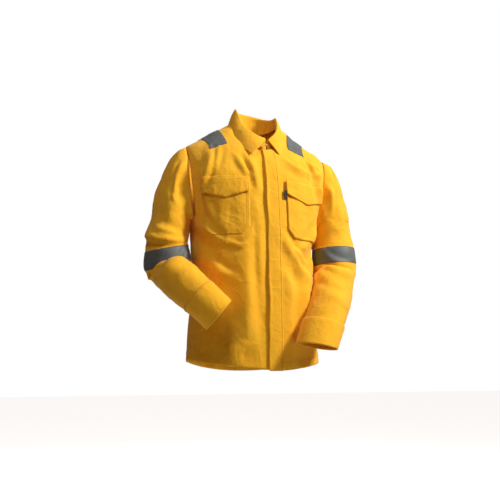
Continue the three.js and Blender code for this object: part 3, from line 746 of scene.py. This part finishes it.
def sleeve(side, lengths, turn, lift=0.0):
    """The folded sleeve, with anything that lies on it lifted further."""
    arm = ARMS[side]
    _, run, elbow = arm["rings"]
    points = ring_points(arm, lengths, turn)
    out = normals(lambda a, b: ring_points(arm, a, b), lengths, turn, 2.0, 0.02)
    middle = ring_points(arm, lengths, turn + math.pi)
    out = out * np.where((out * (points - middle)).sum(-1, keepdims=True) < 0, -1, 1)
    wrapped = (np.degrees(turn) + 180) % 360 - 180
    q = np.stack([wrapped.ravel() * 1.1, (lengths - elbow).ravel()], -1)
    relief = np.zeros(len(q))
    for line, width, height, lean in SLEEVE_FOLDS[side]:
        relief += 2.0 * crease(q, [(a * 1.1, b) for a, b in line], width, height, lean)
    relief = relief.reshape(points.shape[:-1])
    relief += 3.4 * rumple(points, 60, 5.0) + 2.0 * rumple(points, 27, 9.0) + 0.5 * rumple(points, 12, 2.0)
    from_top, to_cuff = lengths, run[-1] - CUFF - lengths
    in_tape = np.abs(lengths - elbow + 40)
    relief *= (smooth(from_top / 24) * (0.25 + 0.75 * smooth(to_cuff / 30))
               * (0.45 + 0.55 * smooth((in_tape - 22) / 14)))
    return points + out * (relief + lift)[..., None]


def sleeve_grid(name, side, start, end, lift=0.0, turns=(-180, 180), thickness=1.0, fabric=None, step=4.5):
    rows = max(int((end - start) / step), 3)
    closed = turns[1] - turns[0] == 360
    columns = ROUND if closed else max(int((turns[1] - turns[0]) / 4), 5)
    turn = np.radians(np.linspace(turns[0], turns[1], columns + closed)[:columns])
    b, a = np.meshgrid(turn, np.linspace(start, end, rows))
    lifted = lift(a, b) if callable(lift) else lift
    points = sleeve(side, a, b, lifted)
    return grid_mesh(name, points[:, ::-1], thickness, closed=closed, fabric=fabric or hi_vis_twill)


for side, arm in ARMS.items():
    sign = arm["sign"]
    fine, run, elbow = arm["rings"]
    seam = np.array([sign * 180, -12, -290.0])
    down = np.array([sign * 0.8, 0, -0.6])
    upper = sleeve_grid(side + "_sleeve_top", side, 0, elbow - 34)
    arm["armhole_bend"] = ("coat_body", side + "_upper_arm", tuple(seam * MM), tuple((seam + 66 * down) * MM))
    assign(upper, arm["armhole_bend"], side + "_upper_sleeve")
    tuck = lambda a, b: -1.2 * (1 - smooth((a - elbow + 40) / 8))
    lower = sleeve_grid(side + "_sleeve_bottom", side, elbow - 46, run[-1] - CUFF + 8, tuck)
    way = np.array([np.interp(elbow + 30, run, c) - np.interp(elbow - 30, run, c) for c in fine[:, :3].T])
    way /= np.linalg.norm(way)
    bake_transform(lower)
    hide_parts(side + "_lower_sleeve")

# ------------------------------------------------------------------ reflective tapes
# Grey retro-reflective tape, 50 mm wide: glass beads bonded on a woven backing, which give a flat
# grey by day. It is stitched along both edges.
def tape_material():
    material, tree = new_material("glass_bead_reflective_tape")
    place = node(tree, "ShaderNodeTexCoord")
    beads = node(tree, "ShaderNodeTexVoronoi", [("Vector", place.outputs["Object"])], Scale=1400)
    soil = node(tree, "ShaderNodeTexNoise", [("Vector", place.outputs["Object"])], Scale=45, Detail=5)
    tint = node(tree, "ShaderNodeMix", [("Factor", soil.outputs["Fac"])], data_type="RGBA",
                A=linear("#4A5153"), B=linear("#626A6B"))
    bump = node(tree, "ShaderNodeBump", [("Height", beads.outputs["Distance"])], Strength=0.2,
                Distance=0.0002)
    shader = node(tree, "ShaderNodeBsdfPrincipled",
                  [("Base Color", tint.outputs["Result"]), ("Normal", bump.outputs[0])],
                  Roughness=0.6, Metallic=0.05)
    shader.inputs["Sheen Weight"].default_value = 0.1
    node(tree, "ShaderNodeOutputMaterial", [("Surface", shader.outputs[0])])
    return material


reflective = tape_material()
for side, arm in ARMS.items():
    elbow = arm["rings"][2]
    edge = lambda a, b: 1.3 - 0.9 * np.exp(-((np.abs(a - (elbow - 40)) - 23) / 1.2) ** 2)
    tape = sleeve_grid(side + "_arm_tape", side, elbow + TAPE_FROM, elbow + TAPE_TO, edge, thickness=0.6,
                       fabric=reflective, step=2.2)
    assign(tape, arm["armhole_bend"], side + "_elbow_tape")

for side, sign in (("right", -1), ("left", 1)):
    u, v = np.meshgrid(np.linspace(0, 1, 18), np.linspace(0, 1, 60))
    y = -86 + 136 * v
    inner_edge = 104 if side == "right" else 82
    x = inner_edge + 22 * smooth((y + 86) / 90) + 50 * u
    z = over_body(sign * x, y, -160.0)
    middle, half_width, front, rear, n = hermite(SECTIONS[:, 0], SECTIONS[:, 1:], z.ravel()).T
    is_front = y.ravel() < WIDEST_Y
    depth = np.abs((y.ravel() - WIDEST_Y) / (np.where(is_front, front, rear) - WIDEST_Y))
    across = (sign * x.ravel() - middle) / half_width
    angle = np.arctan2(np.sign(across) * np.abs(across) ** (n / 2),
                       np.where(is_front, 1, -1) * depth ** (n / 2)).reshape(x.shape)
    points = on_body(angle, z, 1.6 - 0.8 * np.exp(-((np.minimum(u, 1 - u) * 50 - 2) / 1.2) ** 2))
    piece = grid_mesh(side + "_shoulder_band", points, 0.6, fabric=reflective)
    assign(piece, "coat_body", side + "_shoulder_tape")

# ------------------------------------------------------------------ cuffs
# Each cuff is a doubled band with a row of stitches along both edges, closed with one button.
for side, arm in ARMS.items():
    run = arm["rings"][1]
    end = run[-1]

    def cuff_lift(a, b):
        seam_edge = np.exp(-((a - (end - CUFF)) / 1.6) ** 2)
        top_row, low_row = groove(a - (end - CUFF + 4), 1.0, 0.7), groove(end - 4 - a, 1.0, 0.7)
        return 1.9 - 0.7 * seam_edge + top_row + low_row

    cuff = sleeve_grid(side + "_cuff_band", side, end - CUFF, end, cuff_lift, thickness=2.6, step=2.6)
    assign(cuff, side + "_forearm", side + "_cuff")

# ------------------------------------------------------------------ collar
# A shirt collar: a stand round the neck, and a leaf that rolls over it down to two points.
def neck_ring(t, grow):
    a = 0.12 + (-2 * math.pi + 0.08) * t
    return (NECK_X + grow) * np.sin(a), NECK_MIDDLE - (NECK_Y + grow) * np.cos(a)


def fold_height(t):
    rise = 44 + 20 * np.sin(math.pi * t) - 17 * np.sin(2 * math.pi * t) ** 2
    front_dip = np.where(t < 0.5, 8, 13) * np.abs(2 * t - 1) ** 5
    sag = 9 * smooth((t - 0.55) / 0.2) * smooth((0.97 - t) / 0.2)
    return over_body(*neck_ring(t, 0)) + rise - front_dip - sag


t, v = np.meshgrid(np.linspace(0, 1, 90), np.linspace(0, 1, 14))
x, y = neck_ring(t, -3 - 6 * v)
seam_z = over_body(*neck_ring(t, 0))
z = seam_z - 3 + (fold_height(t) - seam_z + 1) * v
stand = grid_mesh("collar_band", np.stack([x, y, z], -1), 1.8, fabric=hi_vis_twill)
assign(stand, "coat_body", "collar_stand")

t, v = np.meshgrid(np.linspace(0, 1, 110), np.linspace(-0.16, 1, 34))
down = np.clip(v, 0, 1)
ends = np.abs(2 * t - 1) ** 3
drop = (50 + (12 + 9 * smooth((t - 0.5) / 0.4)) * ends) * down
spread = -5 + (17 - 2 * ends + 5) * down ** 0.62
spread = np.where(v < 0, -5 - 2.5 * np.sin(np.clip(-v / 0.16, 0, 1) * math.pi / 2), spread)
q = t + (0.5 + (t - 0.5) * 0.785 - t) * down * ends
x, y = neck_ring(q, spread)
y = y - 22 * ends * down
z = fold_height(t) - drop + 3.0 * np.exp(-(v / 0.07) ** 2) + np.where(v < 0, v * 70, 0)
points = np.stack([x, y, z], -1)
leaf = grid_mesh("collar_turned_down", points, 2.0, fabric=hi_vis_twill)
assign(leaf, "coat_body", "collar_leaf")

# ------------------------------------------------------------------ buttons
# Four-hole buttons of cast polyester resin: a raised rim, a dished middle and crossed thread.
# One shows at the collar stand, six are hidden by the fly, and one closes each cuff.
def resin():
    material, tree = new_material("cast_polyester_button")
    place = node(tree, "ShaderNodeTexCoord")
    cloud = node(tree, "ShaderNodeTexNoise", [("Vector", place.outputs["Object"])], Scale=260, Detail=3)
    tint = node(tree, "ShaderNodeMix", [("Factor", cloud.outputs["Fac"])], data_type="RGBA",
                A=linear("#C88A12"), B=linear("#E8AE34"))
    shader = node(tree, "ShaderNodeBsdfPrincipled", [("Base Color", tint.outputs["Result"])],
                  Roughness=0.28, IOR=1.54)
    node(tree, "ShaderNodeOutputMaterial", [("Surface", shader.outputs[0])])
    return material


button_resin = resin()


def sewing_thread():
    material, tree = new_material("spun_polyester_thread")
    place = node(tree, "ShaderNodeTexCoord")
    ply = node(tree, "ShaderNodeTexNoise", [("Vector", place.outputs["Object"])], Scale=900, Detail=2)
    tint = node(tree, "ShaderNodeMix", [("Factor", ply.outputs["Fac"])], data_type="RGBA",
                A=linear("#A86404"), B=linear("#C88410"))
    shader = node(tree, "ShaderNodeBsdfPrincipled", [("Base Color", tint.outputs["Result"])],
                  Roughness=0.6)
    node(tree, "ShaderNodeOutputMaterial", [("Surface", shader.outputs[0])])
    return material


thread = sewing_thread()


def frame_of(normal):
    normal = np.array(normal, float) / np.linalg.norm(normal)
    across = np.cross(normal, [0, 0, 1.0])
    across /= np.linalg.norm(across)
    return across, np.cross(normal, across), normal


def tube_points(line, radius, sides):
    way = np.gradient(line, axis=0)
    way /= np.linalg.norm(way, axis=1, keepdims=True)
    across = np.cross(way, [0.3, 0.2, 0.93])
    across /= np.linalg.norm(across, axis=1, keepdims=True)
    other = np.cross(way, across)
    turns = np.linspace(0, 2 * math.pi, sides + 1)[:-1]
    return line[:, None] + radius * (across[:, None] * np.cos(turns)[None, :, None]
                                     + other[:, None] * np.sin(turns)[None, :, None])


def make_button(cad_name, place, normal, radius, ride):
    across, up, normal = frame_of(normal)
    profile = [(0.01, -0.8), (0.55, -0.8), (0.95, -0.5), (1.0, 0.1), (0.93, 0.7), (0.8, 0.8),
               (0.66, 0.45), (0.5, 0.25), (0.01, 0.25)]
    turns = np.linspace(0, 2 * math.pi, 33)[:-1]
    points = [[place + normal * h + (across * math.cos(t) + up * math.sin(t)) * r * radius for t in turns]
              for r, h in profile]
    disc = grid_mesh(cad_name + "_disc", np.array(points), closed=True, fabric=button_resin)
    pieces = [disc]
    for k in range(2):
        a = math.pi / 4 + k * math.pi / 2
        way = across * math.cos(a) + up * math.sin(a)
        line = [place + way * t + normal * (0.45 + 0.35 * math.cos(t / 1.6 * math.pi / 2))
                for t in np.linspace(-1.6, 1.6, 9)]
        pieces.append(grid_mesh(cad_name + "_thread_%d" % k, tube_points(np.array(line), 0.35, 6),
                                closed=True, fabric=thread))
    for piece in pieces:
        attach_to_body(piece, ride)
    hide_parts(cad_name)


def centre_of(name):
    low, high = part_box(name)
    return np.array([(a + b) / 2 for a, b in zip(low, high)]) / MM


for k in range(6):
    make_button("front_button_%d" % (k + 1), centre_of("front_button_%d" % (k + 1)), (0, -1, 0.08),
                5.8, "coat_body")
make_button("stand_button", centre_of("stand_button") + np.array([2.0, -3.0, 0.0]), (0, -1, 0.3), 5.6,
            "coat_body")
for side, arm in ARMS.items():
    end = arm["rings"][1][-1]
    near = sleeve(side, np.array([end - 37.0]), np.radians([-50.0]), 3.4)[0]
    inner = sleeve(side, np.array([end - 37.0]), np.radians([-50.0]), -10.0)[0]
    make_button(side + "_cuff_button", near, near - inner, 5.8, side + "_forearm")

# ------------------------------------------------------------------ sleeve plackets and pen pocket
# A bound slit runs up from each cuff at the back of the sleeve. The pen pocket is a narrow patch
# on the left upper sleeve, with a slanting mouth and a row of stitches down its middle.
for side, arm in ARMS.items():
    end = arm["rings"][1][-1]
    slit = sleeve_grid(side + "_slit_binding", side, end - CUFF - 82, end - CUFF + 2,
                       lambda a, b: 1.3 - 0.7 * np.exp(-((np.degrees(b) + 56) / 1.4) ** 2), turns=(-68, -44),
                       thickness=1.0, step=3)
    assign(slit, side + "_forearm", side + "_sleeve_placket")

u, v = np.meshgrid(np.linspace(0, 1, 22), np.linspace(0, 1, 40))
pen_elbow = ARMS["left"]["rings"][2]
mouth_at = pen_elbow - 240 + 16 * u
pen_lengths = mouth_at + (pen_elbow - 128 - mouth_at) * v
pen_turns = np.radians(12 + 44 * u)
rim = np.minimum(np.minimum(u, 1 - u) * 52, np.minimum(v * 110 + 1.2, (1 - v) * 110))
pen_lift = 1.4 + 0.8 * smooth(rim / 1.5) + groove(rim - 3, 0.9, 0.6) + 1.6 * smooth(rim / 14) \
    + groove((u - 0.5) * 52, 1.0, 1.4)
pen = grid_mesh("pen_patch", sleeve("left", pen_lengths, pen_turns, pen_lift), 1.4, fabric=hi_vis_twill)
assign(pen, ARMS["left"]["armhole_bend"], "pen_pocket")

# ------------------------------------------------------------------ pocket closures and tab
# Hook-and-loop patches close the flaps: knitted loops on the pocket, moulded hooks on the flap.
# A folded tab of brown webbing stands out at the inner edge of the left pocket.
def nap(name, dark, light, scale, height):
    material, tree = new_material(name)
    place = node(tree, "ShaderNodeTexCoord")
    tufts = node(tree, "ShaderNodeTexVoronoi", [("Vector", place.outputs["Object"])], Scale=scale)
    tint = node(tree, "ShaderNodeMix", [("Factor", tufts.outputs["Distance"])], data_type="RGBA",
                A=linear(light), B=linear(dark))
    bump = node(tree, "ShaderNodeBump", [("Height", tufts.outputs["Distance"])], Strength=0.8,
                Distance=height)
    shader = node(tree, "ShaderNodeBsdfPrincipled",
                  [("Base Color", tint.outputs["Result"]), ("Normal", bump.outputs[0])], Roughness=0.95)
    shader.inputs["Sheen Weight"].default_value = 0.4
    node(tree, "ShaderNodeOutputMaterial", [("Surface", shader.outputs[0])])
    return material


loop_fastener = nap("knitted_loop_fastener", "#6F7475", "#A3A8A8", 900, 0.0006)
hook_fastener = nap("moulded_hook_fastener", "#5C6162", "#8D9393", 700, 0.0004)
for side, sign in (("right", -1), ("left", 1)):
    u, v = np.meshgrid(np.linspace(-11, 11, 12), np.linspace(0, 18, 10))
    z = FLAP_TOP - 28 - v
    angle = arc_angle(sign * (POCKET_MIDDLE + u), z)
    loops = grid_mesh(side + "_loops", on_body(angle, z, 4.2), 0.8, fabric=loop_fastener)
    hooks = grid_mesh(side + "_hooks", on_body(angle, z, 4.9), 0.5, fabric=hook_fastener)
    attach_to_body(loops, "coat_body")
    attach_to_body(hooks, side + "_flap")
    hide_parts(side + "_pocket_loop_patch")
    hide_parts(side + "_flap_hook_patch")

webbing = nap("woven_polyester_webbing", "#241510", "#4A3024", 700, 0.0005)
u, v = np.meshgrid(np.linspace(44.6, 54.2, 7), np.linspace(0, 24, 12))
z = FLAP_TOP - 32 - v
bulge = 3.0 + 1.6 * np.sin(math.pi * v / 24)
folded_tab = grid_mesh("folded_tab", on_body(arc_angle(u, z), z, bulge), 1.6, fabric=webbing)
assign(folded_tab, "coat_body", "pocket_tab")

# ------------------------------------------------------------------ hanger loop and neck label
# Inside the back of the neck: a narrow loop to hang the jacket by, and a blank satin label.
satin = nap("woven_satin_label", "#DAD5C8", "#F1EDE2", 1100, 0.0001)
low, high = [np.array(corner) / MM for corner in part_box("neck_label")]
u, v = np.meshgrid(np.linspace(0, 1, 16), np.linspace(0, 1, 10))
label = grid_mesh("blank_label", np.stack([low[0] + (high[0] - low[0]) * u,
                                           (low[1] + high[1]) / 2 - 1.5 * (2 * u - 1) ** 2,
                                           low[2] + (high[2] - low[2]) * v], -1), 0.5, fabric=satin)
assign(label, "coat_body", "neck_label")

low, high = [np.array(corner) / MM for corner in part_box("hanger_loop")]
t = np.linspace(-1, 1, 33)[:, None]
w = np.linspace(-3, 3, 5)[None, :]
loop_x = (high[0] - 1) * np.sin(t * math.pi / 2) + 0 * w
loop_z = low[2] + 4 + (high[2] - low[2] - 5) * np.abs(t) ** 2.4 + w
loop_y = low[1] + 3 + (high[1] - low[1] - 5) * np.abs(t) ** 2 + 0 * w
hanger = grid_mesh("hanging_loop", np.stack([loop_x, loop_y, loop_z], -1), 1.0, fabric=hi_vis_twill)
assign(hanger, "coat_body", "hanger_loop")

# ------------------------------------------------------------------ stitching
# Lockstitch in golden polyester thread, about three stitches to the centimetre, drawn half as
# thick again as real thread so that it shows. Each run lies just above its cloth.
def stitches(name, line, rides, pitch=3.4, radius=0.33):
    line = np.array(line, float)
    run = run_along(line)
    starts = np.arange(0, run[-1] - pitch, pitch)
    ends = [np.stack([np.interp(starts + off, run, c) for c in line.T], -1) for off in (0.0, pitch * 0.72)]
    way = ends[1] - ends[0]
    way /= np.maximum(np.linalg.norm(way, axis=1, keepdims=True), 1e-6)
    side_way = np.cross(way, [0.21, 0.35, 0.91])
    side_way /= np.linalg.norm(side_way, axis=1, keepdims=True)
    other = np.cross(way, side_way)
    rings = []
    for at, size in ((0.0, 0.45), (0.2, 1.0), (0.8, 1.0), (1.0, 0.45)):
        middle = ends[0] + (ends[1] - ends[0]) * at
        ring = [middle + radius * size * (side_way * math.cos(a) + other * math.sin(a))
                for a in (0, math.pi / 2, math.pi, 3 * math.pi / 2)]
        rings += ring
    points = np.stack(rings, 1).reshape(-1, 3)
    faces = []
    for k in range(len(starts)):
        base = 16 * k
        for j in range(3):
            for i in range(4):
                m = (i + 1) % 4
                faces.append((base + 4 * j + i, base + 4 * j + m, base + 4 * j + 4 + m, base + 4 * j + 4 + i))
        faces += [(base + 3, base + 2, base + 1, base), (base + 12, base + 13, base + 14, base + 15)]
    mesh = bpy.data.meshes.new(name)
    mesh.from_pydata((points * MM).tolist(), [], faces)
    mesh.materials.append(thread)
    made = bpy.data.objects.new(name, mesh)
    bpy.context.scene.collection.objects.link(made)
    attach(made, rides)


z = np.linspace(HEM_FRONT + 3, -78, 240)
x = FREE_EDGE + FLY_STITCH + 0 * z
stitches("fly_stitches", on_body(edge_angle(x, z), z, 3.1), "coat_body")

for side, sign in (("right", -1), ("left", 1)):
    for row, d in enumerate((2.6, 9.0)):
        inner, outer, bottom = POCKET_INNER + d, POCKET_OUTER - d, POCKET_TOP - POCKET_LENGTH + d
        cut = CHAMFER - 0.41 * d
        outline = [(inner, POCKET_TOP - 20), (inner, bottom + cut), (inner + cut, bottom),
                   (outer - cut, bottom), (outer, bottom + cut), (outer, POCKET_TOP - 20)]
        outline = np.array(outline)
        run = run_along(outline)
        at = np.linspace(0, run[-1], 170)
        distance, z = np.interp(at, run, outline[:, 0]), np.interp(at, run, outline[:, 1])
        level = 2.9 if row == 0 else 3.1
        stitches("%s_pocket_stitches_%d" % (side, row), on_body(arc_angle(sign * distance, z), z, level),
                 "coat_body")
    joint = flap_bend(side, sign)
    u = np.concatenate([np.full(14, 0.026), np.linspace(0.026, 0.974, 90), np.full(14, 0.974)])
    drop = FLAP_POINT + (FLAP_SIDE - FLAP_POINT) * np.abs(2 * u - 1) - 3.2
    v = np.concatenate([np.linspace(0.3, 1, 14), np.ones(90), np.linspace(1, 0.3, 14)])
    z = FLAP_TOP - drop * v
    distance = POCKET_INNER - 1 + 134 * u
    wave = 1.2 * np.sin(9 * u + (2 if side == "left" else 0)) * v ** 2
    line = on_body(arc_angle(sign * distance, z), z, 8.2 * v ** 0.3 + wave * 0.9)
    stitches(side + "_flap_stitches", line, joint)
    for row, d in enumerate((3.0, 9.0)):
        distance = np.linspace(POCKET_INNER + 1, POCKET_OUTER - 1, 70)
        z = np.full(70, FLAP_TOP - d)
        line = on_body(arc_angle(sign * distance, z), z, 4.2 + 0.16 * d)
        stitches("%s_flap_top_stitches_%d" % (side, row), line, "coat_body" if row == 0 else joint)

for side, arm in ARMS.items():
    end, elbow = arm["rings"][1][-1], arm["rings"][2]
    turn = np.linspace(-math.pi, math.pi, 150)
    bend, forearm = arm["armhole_bend"], side + "_forearm"
    for name, length, level, rides in (
            ("_tape_top_stitches", elbow + (TAPE_FROM + 2), 1.5, bend),
            ("_tape_low_stitches", elbow + (TAPE_TO - 2), 1.5, bend),
            ("_cuff_seam_stitches", end - CUFF + 4, 2.1, forearm),
            ("_cuff_edge_stitches", end - 4, 2.1, forearm)):
        stitches(side + name, sleeve(side, np.full(150, length), turn, level), rides)

HEM_TURN = 20.0
angles = np.linspace(math.pi / 2, 3 * math.pi / 2, 200)
stitches("back_hem_stitches", on_body(angles, side_z(angles) + HEM_TURN, 0.9), "coat_body")
stitches("yoke_stitches", on_body(angles[22:-22], np.full(156, YOKE_SEAM - 1.0), 1.7), "coat_body")
angles = np.linspace(math.pi / 2, 0.14, 130)
stitches("left_hem_stitches", on_body(angles, side_z(angles) + HEM_TURN, 0.9), "coat_body")
stitches("right_hem_stitches", on_body(-angles + 0.02, side_z(angles) + HEM_TURN, 0.6), "coat_body")
